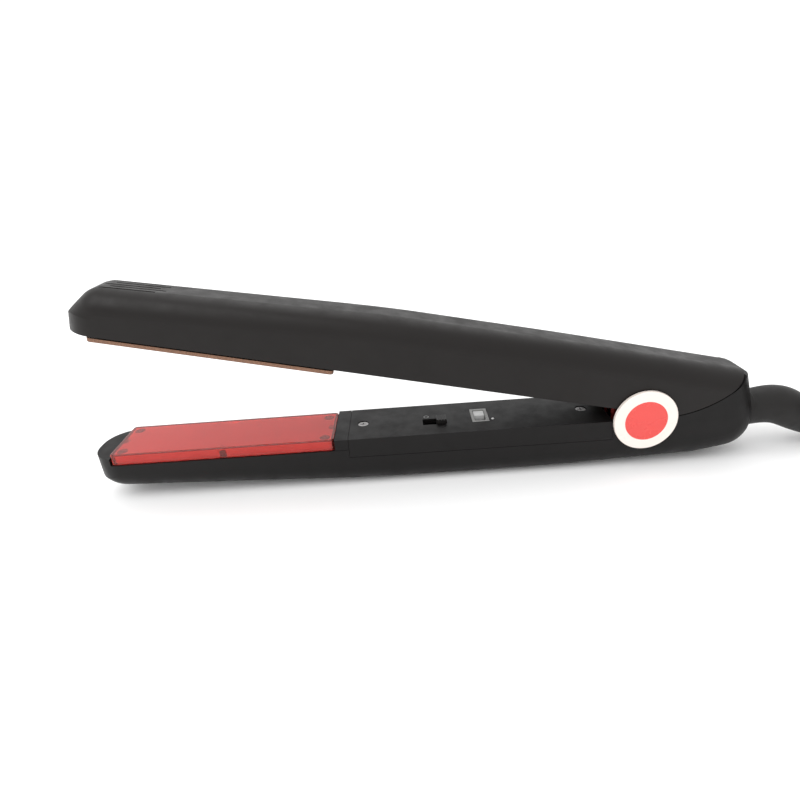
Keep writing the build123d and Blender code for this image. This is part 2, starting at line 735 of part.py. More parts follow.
def hinge_spring():
    """The torsion spring around the pin: a close coil whose two legs push the arms apart."""
    height = SPRING_PITCH * SPRING_TURNS
    coil = Helix(SPRING_PITCH, height, SPRING_RADIUS)
    start_leg = Line(coil @ 0 - (coil % 0) * SPRING_LEG, coil @ 0)
    end_leg = Line(coil @ 1, coil @ 1 + (coil % 1) * SPRING_LEG)
    path = Wire([start_leg.edge(), coil.edge(), end_leg.edge()])
    profile = Plane(origin=path @ 0, z_dir=path % 0) * Circle(SPRING_WIRE)
    spring = sweep(profile, path=path)
    return Rot(90, 0, 0) * Pos(0, 0, -height / 2) * Rot(0, 0, 60) * spring


def hinge_cap(side):
    """A round cap over the end of the pin, with a round recess for its inlay."""
    inner = HALF + RUN_GAP
    cap = rod_y(0, 0, CAP_RADIUS, side * inner, side * (inner + CAP_THICK))
    cap = fillet(cap.edges().group_by(Axis.Y)[-1 if side > 0 else 0], 0.5)
    cap -= rod_y(0, 0, PIN_RADIUS, side * (inner - 1), side * (inner + CAP_SEAT))
    face = inner + CAP_THICK
    return cap - rod_y(0, 0, CAP_INLAY_RADIUS, side * (face - CAP_INLAY_THICK), side * (face + 1))


def cap_inlay(side):
    """The red disc in a hinge cap."""
    face = HALF + RUN_GAP + CAP_THICK
    return rod_y(0, 0, CAP_INLAY_RADIUS, side * (face - CAP_INLAY_THICK), side * face)


# ---------------------------------------------------------------- upper arm
def cover_screw_places():
    """The screws of the upper cover, as x."""
    return (-COVER_SCREW_FRONT, -COVER_SCREW_REAR)


def frame_screw_places():
    """The screws of the plate frame, as x and y."""
    xs = (-BED_FRONT - FRAME_SCREW_OUT, -BED_REAR + FRAME_SCREW_OUT)
    return [(x, y) for x in xs for y in (-FRAME_SCREW_Y, FRAME_SCREW_Y)]


def cushion_places():
    """The silicone cushions behind the plate, as x."""
    span = BED_FRONT - BED_REAR
    return [-BED_FRONT + span * share for share in (0.14, 0.38, 0.62, 0.86)]


def cushion_low():
    """Height of the underside of the cushions."""
    return BED_TOP_Z + MICA_THICK + CLAMP_THICK


def upper_shell():
    """The outer casing of the upper arm, with its bosses, hinge ears and finger grooves."""
    shell = upper_block(0) - upper_block(WALL)
    for side in (-1, 1):
        shell -= rod_y(0, 0, EAR_RADIUS + 0.5, side * (UPPER_EAR_OUT + 0.1), side * INNER_HALF)
        ear = rod_y(0, 0, EAR_RADIUS, side * UPPER_EAR_IN, side * UPPER_EAR_OUT)
        ear += box(-EAR_RADIUS, EAR_RADIUS, side * UPPER_EAR_IN, side * UPPER_EAR_OUT, 0, 21.5)
        ear -= rod_y(0, 0, PIN_RADIUS + PIN_RUN + BUSH_WALL, -20, 20)
        shell += ear
    body = upper_block(0)
    frame_top = UPPER_FACE + FRAME_THICK
    for x, y in frame_screw_places():
        boss = post(x, y, BOSS_RADIUS, frame_top, 25) & body
        shell += boss - post(x, y, SCREW_SHANK_RADIUS, 0, frame_top + 6)
    cover_top = UPPER_FACE + UPPER_COVER_THICK
    for x in cover_screw_places():
        boss = post(x, 0, BOSS_RADIUS, cover_top, 25) & body
        shell += boss - post(x, 0, SCREW_SHANK_RADIUS, 0, cover_top + 7)
    for x in cushion_places():
        shell += box(x - 3, x + 3, -3, 3, cushion_low() + CUSHION_HEIGHT, 25) & body
    return shell - grip_grooves()


def grip_grooves():
    """Short grooves along the back of the upper arm, near the tip, all of one depth."""
    skin = upper_block(0) - upper_block(GROOVE_DEPTH)
    blanks = Part()
    for index in range(GROOVE_COUNT):
        y = (index - (GROOVE_COUNT - 1) / 2) * GROOVE_PITCH
        x0 = -TIP_REACH + GROOVE_START + (index % 2) * GROOVE_STAGGER
        x1 = x0 + GROOVE_LENGTH
        half = GROOVE_WIDTH / 2
        blanks += box(x0, x1, y - half, y + half, TIP_CROWN_Z - 3, CROWN_Z)
    return skin & blanks


def upper_cover():
    """The flush cover behind the hot plate."""
    half = INNER_HALF - SEAM_GAP
    cover = box(
        -UPPER_COVER_FRONT, -COVER_REAR, -half, half, UPPER_FACE, UPPER_FACE + UPPER_COVER_THICK,
    )
    for x in cover_screw_places():
        cover -= post(x, 0, SCREW_RECESS_RADIUS, UPPER_FACE - 1, UPPER_FACE + SCREW_HEAD_HEIGHT)
        cover -= post(x, 0, SCREW_SHANK_RADIUS, UPPER_FACE - 1, UPPER_FACE + 10)
    return cover


def upper_cover_screws():
    """The two screws of the upper cover."""
    return group([screw(x, 0, UPPER_FACE, 7.0, up=-1) for x in cover_screw_places()])


def plate_frame():
    """The heat proof frame that the hot plate floats in."""
    half = INNER_HALF - SEAM_GAP
    front = -BED_FRONT - 6.0
    rear = -UPPER_COVER_FRONT - SEAM_GAP
    top = UPPER_FACE + FRAME_THICK
    frame = box(front, rear, -half, half, UPPER_FACE, top)
    frame &= upper_block(WALL + SEAM_GAP)
    frame -= box(
        -BED_FRONT - FRAME_CLEAR, -BED_REAR + FRAME_CLEAR,
        -BED_WIDTH / 2 - FRAME_CLEAR, BED_WIDTH / 2 + FRAME_CLEAR, UPPER_FACE - 1, top + 1,
    )
    for x, y in frame_screw_places():
        frame -= post(x, y, SCREW_HEAD_RADIUS + 0.2, UPPER_FACE - 1, UPPER_FACE + SCREW_HEAD_HEIGHT)
        frame -= post(x, y, SCREW_SHANK_RADIUS, 0, top + 1)
    return frame


def frame_screws():
    """The four screws of the plate frame, heads sunk flush."""
    return group([screw(x, y, UPPER_FACE, 6.0, up=-1) for x, y in frame_screw_places()])


def heating_plate():
    """The bronze coloured hot plate: a smooth slab with a narrower bed behind it."""
    half = PLATE_WIDTH / 2
    slab = box(-PLATE_FRONT, -PLATE_REAR, -half, half, PLATE_FACE, PLATE_FACE + PLATE_SLAB)
    slab = fillet(slab.edges().filter_by(Axis.Z), 1.6)
    slab = fillet(slab.edges().group_by(Axis.Z)[0], 0.5)
    bed_half = BED_WIDTH / 2
    slab += box(
        -BED_FRONT, -BED_REAR, -bed_half, bed_half, PLATE_FACE + PLATE_SLAB - 0.1, BED_TOP_Z,
    )
    channel = CHANNEL_WIDTH / 2
    slab -= box(-BED_FRONT + 3, -BED_REAR - 3, -channel, channel, BED_TOP_Z - CHANNEL_DEPTH, BED_TOP_Z + 1)
    for x in clamp_screw_places():
        slab += box(x - 3, x + 3, -channel - 0.5, channel + 0.5, BED_TOP_Z - CHANNEL_DEPTH, BED_TOP_Z)
        slab -= post(x, 0, SCREW_SHANK_RADIUS, BED_TOP_Z - 2.6, BED_TOP_Z + 1)
    return slab


def clamp_screw_places():
    """The screws that hold the heater clamp to the plate, as x."""
    return (-BED_FRONT + CLAMP_SCREW_IN, -BED_REAR - CLAMP_SCREW_IN)


def heater_centre():
    """Middle of the heater along the arm."""
    return -(BED_FRONT + BED_REAR) / 2 - 3.0


def ceramic_heater():
    """The flat ceramic heater in the channel of the plate."""
    x = heater_centre()
    half = HEATER_WIDTH / 2
    low = BED_TOP_Z - CHANNEL_DEPTH
    return box(x - HEATER_LENGTH / 2, x + HEATER_LENGTH / 2, -half, half, low, low + HEATER_THICK)


def mica_sheet():
    """The insulating sheet over the heater."""
    half = BED_WIDTH / 2
    sheet = box(-BED_FRONT + 0.5, -BED_REAR - 0.5, -half, half, BED_TOP_Z, BED_TOP_Z + MICA_THICK)
    for x in clamp_screw_places():
        sheet -= post(x, 0, SCREW_SHANK_RADIUS, 0, 20)
    return sheet


def heater_clamp():
    """The steel plate over the heater, wider than the frame's opening so that it holds the plate in."""
    low = BED_TOP_Z + MICA_THICK
    half = CLAMP_WIDTH / 2
    clamp = box(-BED_FRONT + 0.5, -BED_REAR - 0.5, -half, half, low, low + CLAMP_THICK)
    for x in clamp_screw_places():
        clamp -= post(x, 0, SCREW_SHANK_RADIUS, 0, 20)
    return clamp


def clamp_screws():
    """The two screws of the heater clamp."""
    head = BED_TOP_Z + MICA_THICK + CLAMP_THICK + SCREW_HEAD_HEIGHT
    return group([screw(x, 0, head, 3.6) for x in clamp_screw_places()])


def thermistor():
    """The temperature sensor at the end of the heater."""
    x = -BED_REAR - 9.0
    low = BED_TOP_Z - CHANNEL_DEPTH
    return box(x - 2, x + 2, -1.5, 1.5, low, low + 1.5)


def thermal_fuse():
    """The thermal fuse, strapped on the heater clamp."""
    low = cushion_low()
    x = cushion_places()[1] + 9.6
    fuse = Pos(x, 0, low + 1.8) * Rot(90, 0, 0) * Cylinder(1.8, 9.0)
    return fuse


def plate_cushions():
    """Four silicone cushions that push the hot plate out."""
    low = cushion_low()
    half = CUSHION_SIZE / 2
    blocks = [
        box(x - half / 2, x + half / 2, -half, half, low, low + CUSHION_HEIGHT) for x in cushion_places()
    ]
    return group(blocks)


# ---------------------------------------------------------------- wires
def tube(points, radius, bend):
    """A plain round tube along straight runs joined by arcs."""
    path = FilletPolyline(*points, radius=bend)
    start = path.edges()[0]
    profile = Plane(origin=start @ 0, z_dir=start % 0) * Circle(radius)
    return sweep(profile, path=path)


def supply_wires():
    """Two wires from the clamped lead, under the hinge, to the control board."""
    x_end = -CONTROL_BOARD_REAR
    z_end = CONTROL_BOARD_Z - BOARD_THICK / 2
    wires = []
    for side in (-1, 1):
        y_tail, y_low = side * 1.5, side * 6.0
        points = [
            (CORD_TAIL_X, y_tail, BOOT_Z), (CORD_TAIL_X - 5, y_tail, BOOT_Z),
            (12.0, y_low, -15.5), (-16.0, y_low, -15.5), (x_end + 9, y_low, z_end), (x_end, y_low, z_end),
        ]
        wires.append(tube(points, WIRE_RADIUS, WIRE_BEND))
    return group(wires)


def emitter_wires():
    """Two wires from the control board to the light board."""
    x_board = -CONTROL_BOARD_FRONT
    z_board = CONTROL_BOARD_Z - BOARD_THICK / 2
    x_light = -WINDOW_REAR - 1.6
    z_light = EMITTER_BOARD_Z - BOARD_THICK / 2
    wires = []
    for y in (-4.0, 4.0):
        points = [
            (x_board, y, z_board), (x_board - 5, y, z_board),
            (x_light + 5, y, z_light), (x_light, y, z_light),
        ]
        wires.append(tube(points, WIRE_RADIUS, 2.5))
    return group(wires)


def hinge_wires():
    """Two wires from the control board up past the hinge pin, to where the upper arm's begin."""
    x_board = -CONTROL_BOARD_REAR
    z_board = CONTROL_BOARD_Z - BOARD_THICK / 2
    turn = math.radians(OPEN_ANGLE)
    x_up = HEATER_WIRE_X * math.cos(turn) + HEATER_WIRE_Z * math.sin(turn)
    z_up = HEATER_WIRE_Z * math.cos(turn) - HEATER_WIRE_X * math.sin(turn) - SEAM_GAP
    wires = []
    for y in (-WIRE_Y, WIRE_Y):
        points = [
            (x_board, y, z_board), (x_board + 10, y, z_board), (-15.0, y, -11.0),
            (x_up, y, -5.0), (x_up, y, z_up),
        ]
        wires.append(tube(points, WIRE_RADIUS, WIRE_BEND))
    return group(wires)


def heater_wires():
    """Two wires along the upper arm to the rear end of the heater clamp."""
    rise = HEATER_WIRE_Z + 5.0
    x_clamp = -BED_REAR - CLAMP_SCREW_IN
    z_heater = cushion_low() + WIRE_RADIUS + SEAM_GAP
    wires = []
    for y in (-WIRE_Y, WIRE_Y):
        points = [
            (HEATER_WIRE_X, y, HEATER_WIRE_Z), (HEATER_WIRE_X, y, rise), (-20.0, y, rise + 2),
            (-104.0, y, rise + 2), (-122.0, y, z_heater + 2.5), (x_clamp, y, z_heater),
        ]
        wires.append(tube(points, WIRE_RADIUS, WIRE_BEND))
    return group(wires)


# ---------------------------------------------------------------- lead
def cord_boot():
    """The bent strain relief: a flange inside the casing, a neck and a tapering sleeve."""
    sections = []
    for x, z, radius, slope in BOOT_STATIONS:
        direction = (math.cos(math.radians(slope)), 0, -math.sin(math.radians(slope)))
        station = Plane(origin=(x, 0, z), x_dir=(0, 1, 0), z_dir=direction)
        sections.append(station * Circle(radius))
    sleeve = loft(sections)
    inside = BOOT_FLANGE_X - BOOT_FLANGE_THICK
    neck = rod_x(0, BOOT_Z, BOOT_RADIUS, inside, BOOT_STATIONS[0][0])
    flange = rod_x(0, BOOT_Z, BOOT_FLANGE_RADIUS, inside, BOOT_FLANGE_X)
    return neck + flange + sleeve


def cord_end():
    """The lead's end inside the casing, from the boot to the clamp."""
    start = BOOT_FLANGE_X - BOOT_FLANGE_THICK
    return rod_x(0, BOOT_Z, CORD_RADIUS, CORD_TAIL_X, start)


def cord_clamp():
    """The bar that clamps the lead against two posts."""
    low = BOOT_Z - CORD_RADIUS
    bar = box(CLAMP_X - 3, CLAMP_X + 3, -9.6, 9.6, low, BOOT_Z + CORD_RADIUS + 1.5)
    bar -= rod_x(0, BOOT_Z, CORD_RADIUS, CLAMP_X - 10, CLAMP_X + 10)
    bar -= box(CLAMP_X - 5, CLAMP_X + 5, -CORD_RADIUS, CORD_RADIUS, low - 1, BOOT_Z)
    for y in (-CLAMP_SCREW_Y, CLAMP_SCREW_Y):
        bar -= post(CLAMP_X, y, SCREW_SHANK_RADIUS, -20, 20)
    return bar


def cord_clamp_screws():
    """The two screws of the clamp."""
    head = BOOT_Z + CORD_RADIUS + 1.5 + SCREW_HEAD_HEIGHT
    return group([screw(CLAMP_X, y, head, 13.0) for y in (-CLAMP_SCREW_Y, CLAMP_SCREW_Y)])


def bend_radii(route):
    """The largest even arc at each corner of a route, which is printed too."""
    radii = []
    for before, here, after in zip(route, route[1:], route[2:]):
        first = Vector(*here) - Vector(*before)
        second = Vector(*after) - Vector(*here)
        half_turn = math.radians(first.get_angle(second)) / 2
        radii.append(0.45 * min(first.length, second.length) / math.tan(half_turn))
    print("arc radii in lead diameters:", [round(r / CORD_DIAMETER, 1) for r in radii])
    return radii


def cord_tube(name, route):
    """A plain tube along a route, with its volume checked against its length."""
    radii = bend_radii(route)
    solid = tube(route, CORD_RADIUS, radii)
    length = FilletPolyline(*route, radius=radii).length
    share = solid.volume / (math.pi * CORD_RADIUS ** 2 * length)
    print(name, "length", round(length, 1), "volume over section times length", round(share, 4))
    return solid


def long_loop(radius, low, high):
    """A block with round ends over both folds of the hank."""
    x0, x1 = HANK_X, HANK_X + HANK_RUN
    middle = box(x0, x1, HANK_Y - radius, HANK_Y + radius, low, high)
    return middle + post(x0, HANK_Y, radius, low, high) + post(x1, HANK_Y, radius, low, high)


def cord_hank(grow=0.0):
    """The outer shape of the put away hank: a long low ring, or a slightly larger one to cut with."""
    outer = HANK_FOLD + (HANK_COLUMNS - 0.5) * CORD_DIAMETER + grow
    inner = HANK_FOLD - CORD_RADIUS - grow
    low, high = HANK_LOW - grow, HANK_TOP + grow
    ring = long_loop(outer, low, high) - long_loop(inner, low - 1, high + 1)
    rims = ring.edges().group_by(Axis.Z)[0] + ring.edges().group_by(Axis.Z)[-1]
    return fillet(rims, CORD_RADIUS * 0.8)


def cord_tie():
    """The strap around one side of the hank."""
    low = BACK_Z + 0.02
    high = HANK_TOP + TIE_THICK + 0.1
    half = HANK_COLUMNS * CORD_RADIUS + TIE_THICK + 0.1
    y = HANK_Y - HANK_FOLD - (HANK_COLUMNS - 1) * CORD_RADIUS
    strap = box(TIE_X - TIE_WIDTH / 2, TIE_X + TIE_WIDTH / 2, y - half, y + half, low, high)
    strap = fillet(strap.edges().filter_by(Axis.X), CORD_RADIUS * 0.8)
    return strap - cord_hank(0.08)


def plug_in_place(shape):
    """Moves a piece of the plug, made pointing to -X from the origin, onto the hank."""
    return Pos(PLUG_X, PLUG_Y, PLUG_LOW) * Rot(0, 0, 180) * shape


def plug_body():
    """The flat two pin plug with its tapered sleeve."""
    body = box(-PLUG_LENGTH, -12, -PLUG_WIDTH / 2, PLUG_WIDTH / 2, 0, PLUG_THICK)
    body = fillet(body.edges().filter_by(Axis.X), PLUG_THICK * 0.35)
    sections = []
    for back, height, width, thick in PLUG_SLEEVE:
        place = Plane(origin=(-back, 0, height), x_dir=(0, 1, 0), z_dir=(1, 0, 0))
        sections.append(place * RectangleRounded(width, thick, thick * 0.35))
    return plug_in_place(body + loft(sections))


def plug_pins():
    """The two round pins."""
    pins = []
    for side in (-1, 1):
        y = side * PLUG_PIN_SPACING / 2
        pin = rod_x(y, PLUG_THICK / 2, PLUG_PIN_RADIUS, -PLUG_LENGTH - PLUG_PIN_LENGTH, -PLUG_LENGTH)
        pins.append(plug_in_place(fillet(pin.edges().group_by(Axis.X)[0], 1.0)))
    return group(pins)


def build():
    """Makes every piece."""
    keep("lower_shell", lower_shell())
    keep("inner_cover", inner_cover())
    keep("window_bridge", window_bridge())
    keep("red_window", red_window())
    keep("spreader_plate", spreader_plate())
    keep("window_screws", window_screws())
    keep("window_spacers", window_spacers())
    keep("emitter_board", emitter_board())
    keep("emitters", emitters())
    keep("cover_screws", cover_screws())
    keep("control_board", control_board())
    keep("board_screws", board_screws())
    keep("board_parts", board_parts())
    keep("switch_case", switch_case())
    keep("switch_knob", switch_knob())
    keep("selector_rim", selector_rim())
    keep("selector_case", selector_case())
    keep("selector_knob", selector_knob())
    keep("hinge_pin", hinge_pin())
    keep("hinge_bushes", hinge_bushes(), upper=True)
    keep("hinge_spring", hinge_spring())
    keep("near_cap", hinge_cap(-1))
    keep("far_cap", hinge_cap(1))
    keep("near_cap_inlay", cap_inlay(-1))
    keep("far_cap_inlay", cap_inlay(1))
    keep("upper_shell", upper_shell(), upper=True)
    keep("upper_cover", upper_cover(), upper=True)
    keep("upper_cover_screws", upper_cover_screws(), upper=True)
    keep("plate_frame", plate_frame(), upper=True)
    keep("frame_screws", frame_screws(), upper=True)
    keep("heating_plate", heating_plate(), upper=True)
    keep("ceramic_heater", ceramic_heater(), upper=True)
    keep("mica_sheet", mica_sheet(), upper=True)
    keep("heater_clamp", heater_clamp(), upper=True)
    keep("clamp_screws", clamp_screws(), upper=True)
    keep("thermistor", thermistor(), upper=True)
    keep("thermal_fuse", thermal_fuse(), upper=True)
    keep("plate_cushions", plate_cushions(), upper=True)
    keep("supply_wires", supply_wires())
    keep("emitter_wires", emitter_wires())
    keep("hinge_wires", hinge_wires())
    keep("heater_wires", heater_wires(), upper=True)
    keep("cord_boot", cord_boot())
    keep("cord_end", cord_end())
    keep("cord_clamp", cord_clamp())
    keep("cord_clamp_screws", cord_clamp_screws())
    keep("cord_lead", cord_tube("cord_lead", LEAD_ROUTE))
    keep("cord_hank", cord_hank())
    keep("cord_tie", cord_tie())
    keep("cord_tail", cord_tube("cord_tail", TAIL_ROUTE))
    keep("plug_body", plug_body())
    keep("plug_pins", plug_pins())


def write():
    """Writes one STEP file for each node."""
    os.makedirs("parts", exist_ok=True)
    for name, shape in PARTS.items():
        export_step(shape, f"parts/{name}.step")


build()
write()
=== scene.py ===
"""Looks, mains cord, floor, light and camera for a hinged flat iron with a red light window.

Every size is in metres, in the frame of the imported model: X runs along the arms towards the
cord, Y across them and Z up.  Each sub-assembly is a class with its own sizes.  The main
function at the end makes them in order.
"""

import logging
import math
from collections.abc import Callable
from dataclasses import dataclass, field
from enum import Enum

import bpy
from mathutils import Matrix, Vector


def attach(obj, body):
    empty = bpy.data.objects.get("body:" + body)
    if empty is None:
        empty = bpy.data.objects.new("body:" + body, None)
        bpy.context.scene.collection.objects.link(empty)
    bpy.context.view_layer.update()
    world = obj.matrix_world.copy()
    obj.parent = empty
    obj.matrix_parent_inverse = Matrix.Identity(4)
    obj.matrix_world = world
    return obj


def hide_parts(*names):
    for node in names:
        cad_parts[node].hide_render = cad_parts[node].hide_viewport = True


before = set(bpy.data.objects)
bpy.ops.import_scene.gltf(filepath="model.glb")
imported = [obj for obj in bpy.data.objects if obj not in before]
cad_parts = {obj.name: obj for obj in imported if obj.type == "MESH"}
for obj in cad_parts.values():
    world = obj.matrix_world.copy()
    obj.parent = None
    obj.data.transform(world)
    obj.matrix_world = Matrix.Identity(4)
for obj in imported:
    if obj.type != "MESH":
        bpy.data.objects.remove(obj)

LOG = logging.getLogger("flat_iron")
Triple = tuple[float, float, float]

# The hinge's place in this frame, from which the model's own sizes are counted.
HINGE: Vector = Vector((0.08765, 0.0, 0.0218))
SMOOTH_ANGLE: float = math.radians(35)


def from_hinge(x: float, y: float, z: float) -> Vector:
    """Turns a place counted from the hinge, in millimetres, into metres in this frame.

    Args:
        x: Millimetres towards the cord.
        y: Millimetres across the arms.
        z: Millimetres up.

    Returns:
        The place in this frame.
    """
    return HINGE + Vector((x, y, z)) / 1000


# --------------------------------------------------------------------------- finishes
# How often each pattern repeats in a metre, along X, Y and Z.
CLOUD_SCALE: Triple = (55, 55, 55)
WEAR_SCALE: Triple = (140, 140, 140)
POLISH_SCALE: Triple = (260, 260, 260)
TRACK_SCALE: Triple = (320, 320, 320)
THREAD_SCALE: Triple = (1400, 1400, 1400)
FLECK_SCALE: Triple = (2600, 2600, 2600)
FLECK_BUMP_SCALE: Triple = (3200, 3200, 3200)
MOULD_SCALE: Triple = (4200, 4200, 4200)
BRUSH_SCALE: Triple = (120, 7000, 7000)

# The part of a cloudy pattern that is spread over a range.
CLOUD_LOW: float = 0.3
CLOUD_HIGH: float = 0.7

COAT_ROUGHNESS: float = 0.08
SHEEN_ROUGHNESS: float = 0.6
LEAST_ROUGHNESS: float = 0.02


class Grain(Enum):
    """The ways a surface's fine texture is laid out."""

    MOULDED = "moulded"
    POLISHED = "polished"
    BRUSHED = "brushed"
    FLECKED = "flecked"
    WOVEN = "woven"
    LACQUERED = "lacquered"


class NodeBench:
    """Adds and joins shader nodes in one material."""

    def __init__(self, material: bpy.types.Material) -> None:
        """Clears the material's nodes and keeps its tree.

        Args:
            material: The material to work on.
        """
        material.use_nodes = True
        self.tree = material.node_tree
        self.tree.nodes.clear()

    def add(self, kind: str, **settings: object) -> bpy.types.ShaderNode:
        """Adds a node and sets its properties.

        Args:
            kind: The node's type name.
            settings: Property names with their values.

        Returns:
            The new node.
        """
        node = self.tree.nodes.new(kind)
        for name, value in settings.items():
            setattr(node, name, value)
        return node

    def join(self, start: bpy.types.NodeSocket, end: bpy.types.NodeSocket) -> None:
        """Links an output to an input."""
        self.tree.links.new(start, end)

    def stretched(self, scale: Triple) -> bpy.types.NodeSocket:
        """Object coordinates multiplied by a scale along each axis.

        Args:
            scale: Repeats for each metre along X, Y and Z.

        Returns:
            The socket with the scaled coordinates.
        """
        place = self.add("ShaderNodeTexCoord")
        mapping = self.add("ShaderNodeMapping")
        mapping.inputs["Scale"].default_value = scale
        self.join(place.outputs["Object"], mapping.inputs["Vector"])
        return mapping.outputs["Vector"]

    def noise(self, scale: Triple, detail: float, rough: float = 0.5) -> bpy.types.NodeSocket:
        """A cloudy pattern from 0 to 1.

        Args:
            scale: Repeats for each metre along X, Y and Z.
            detail: How many finer layers it has.
            rough: How strong the finer layers are.

        Returns:
            The pattern's factor socket.
        """
        node = self.add("ShaderNodeTexNoise")
        node.inputs["Scale"].default_value = 1.0
        node.inputs["Detail"].default_value = detail
        node.inputs["Roughness"].default_value = rough
        self.join(self.stretched(scale), node.inputs["Vector"])
        return node.outputs["Fac"]

    def ranged(self, source: bpy.types.NodeSocket, low: float, high: float) -> bpy.types.NodeSocket:
        """Spreads the middle of a cloudy pattern over a range.

        Args:
            source: A pattern from 0 to 1.
            low: The value where the pattern is low.
            high: The value where the pattern is high.

        Returns:
            The spread value.
        """
        node = self.add("ShaderNodeMapRange")
        node.inputs["From Min"].default_value = CLOUD_LOW
        node.inputs["From Max"].default_value = CLOUD_HIGH
        node.inputs["To Min"].default_value = low
        node.inputs["To Max"].default_value = high
        self.join(source, node.inputs["Value"])
        return node.outputs["Result"]

    def blend(self, share: bpy.types.NodeSocket, first: Triple, second: Triple) -> bpy.types.NodeSocket:
        """Mixes two colours by a pattern.

        Args:
            share: How much of the second colour shows.
            first: The colour at 0.
            second: The colour at 1.

        Returns:
            The mixed colour.
        """
        node = self.add("ShaderNodeMix", data_type="RGBA")
        for socket in node.inputs:
            if socket.identifier == "A_Color":
                socket.default_value = (*first, 1.0)
            if socket.identifier == "B_Color":
                socket.default_value = (*second, 1.0)
            if socket.identifier == "Factor_Float":
                self.join(share, socket)
        return next(s for s in node.outputs if s.identifier == "Result_Color")

    def bumped(self, height: bpy.types.NodeSocket, strength: float, depth: float) -> bpy.types.NodeSocket:
        """Turns a height pattern into a surface direction.

        Args:
            height: The pattern.
            strength: From 0 to 1.
            depth: The pattern's full height in metres.

        Returns:
            The normal socket.
        """
        node = self.add("ShaderNodeBump")
        node.inputs["Strength"].default_value = strength
        node.inputs["Distance"].default_value = depth
        self.join(height, node.inputs["Height"])
        return node.outputs["Normal"]


@dataclass(frozen=True)
class Finish:
    """One surface finish: its colour, gloss and fine texture."""

    name: str
    colour: Triple
    roughness: float
    grain: Grain = Grain.MOULDED
    metallic: float = 0.0
    mottle: float = 0.08
    texture: float = 0.25
    coat: float = 0.0
    clear: float = 0.0
    bend: float = 1.46
    sheen: float = 0.0
    shine: float = 0.5

    def shaded(self, amount: float) -> Triple:
        """The finish's colour, lighter or darker by an amount."""
        red, green, blue = self.colour
        gain = 1.0 + amount
        return (min(1.0, red * gain), min(1.0, green * gain), min(1.0, blue * gain))

    def make(self) -> bpy.types.Material:
        """Makes the material once and returns it each time.

        Returns:
            The material with its nodes.
        """
        known = bpy.data.materials.get(self.name)
        if known is not None and known.get("ready"):
            return known
        material = bpy.data.materials.new(self.name)
        material["ready"] = True
        bench = NodeBench(material)
        shader = bench.add("ShaderNodeBsdfPrincipled")
        output = bench.add("ShaderNodeOutputMaterial")
        bench.join(shader.outputs["BSDF"], output.inputs["Surface"])
        shader.inputs["Metallic"].default_value = self.metallic
        shader.inputs["Coat Weight"].default_value = self.coat
        shader.inputs["Coat Roughness"].default_value = COAT_ROUGHNESS
        shader.inputs["Transmission Weight"].default_value = self.clear
        shader.inputs["IOR"].default_value = self.bend
        shader.inputs["Sheen Weight"].default_value = self.sheen
        shader.inputs["Sheen Roughness"].default_value = SHEEN_ROUGHNESS
        shader.inputs["Specular IOR Level"].default_value = self.shine
        cloud = bench.noise(CLOUD_SCALE, 4.0)
        colour = bench.blend(cloud, self.shaded(-self.mottle), self.shaded(self.mottle))
        height, depth = self.texture_height(bench)
        if self.grain is Grain.FLECKED:
            flecks = bench.ranged(bench.noise(FLECK_SCALE, 2.0), 0.0, 1.0)
            colour = bench.blend(flecks, self.shaded(-0.25), self.shaded(0.45))
        if self.grain is Grain.LACQUERED:
            colour = self.track_colour(bench)
        bench.join(colour, shader.inputs["Base Color"])
        wear = bench.noise(WEAR_SCALE, 6.0, 0.6)
        spread = 0.06 + 0.1 * self.roughness
        low = max(LEAST_ROUGHNESS, self.roughness - spread)
        bench.join(bench.ranged(wear, low, self.roughness + spread), shader.inputs["Roughness"])
        bench.join(bench.bumped(height, self.texture, depth), shader.inputs["Normal"])
        return material

    def texture_height(self, bench: NodeBench) -> tuple[bpy.types.NodeSocket, float]:
        """The fine texture as a height pattern.

        Args:
            bench: The material's nodes.

        Returns:
            The pattern and its full height in metres.
        """
        if self.grain is Grain.BRUSHED:
            return bench.noise(BRUSH_SCALE, 3.0), 0.00004
        if self.grain is Grain.POLISHED:
            return bench.noise(POLISH_SCALE, 2.0), 0.00006
        if self.grain is Grain.WOVEN:
            return self.weave(bench), 0.00012
        if self.grain is Grain.FLECKED:
            return bench.noise(FLECK_BUMP_SCALE, 2.0), 0.00003
        return bench.noise(MOULD_SCALE, 3.0, 0.7), 0.00005

    def weave(self, bench: NodeBench) -> bpy.types.NodeSocket:
        """Crossing threads.

        Args:
            bench: The material's nodes.

        Returns:
            The threads' height.
        """
        sides = []
        for direction in ("DIAGONAL", "X"):
            wave = bench.add("ShaderNodeTexWave", bands_direction=direction)
            wave.inputs["Scale"].default_value = 1.0
            bench.join(bench.stretched(THREAD_SCALE), wave.inputs["Vector"])
            sides.append(wave.outputs["Fac"])
        top = bench.add("ShaderNodeMath", operation="MAXIMUM")
        bench.join(sides[0], top.inputs[0])
        bench.join(sides[1], top.inputs[1])
        return top.outputs["Value"]

    def track_colour(self, bench: NodeBench) -> bpy.types.NodeSocket:
        """The faint copper tracks under a circuit board's lacquer.

        Args:
            bench: The material's nodes.

        Returns:
            The board's colour.
        """
        bricks = bench.add("ShaderNodeTexBrick", offset=0.37, squash=1.6)
        bricks.inputs["Color1"].default_value = (*self.shaded(-0.1), 1.0)
        bricks.inputs["Color2"].default_value = (*self.shaded(0.15), 1.0)
        bricks.inputs["Mortar"].default_value = (*self.shaded(1.2), 1.0)
        bricks.inputs["Scale"].default_value = 1.0
        bricks.inputs["Mortar Size"].default_value = 0.05
        bench.join(bench.stretched(TRACK_SCALE), bricks.inputs["Vector"])
        return bricks.outputs["Color"]


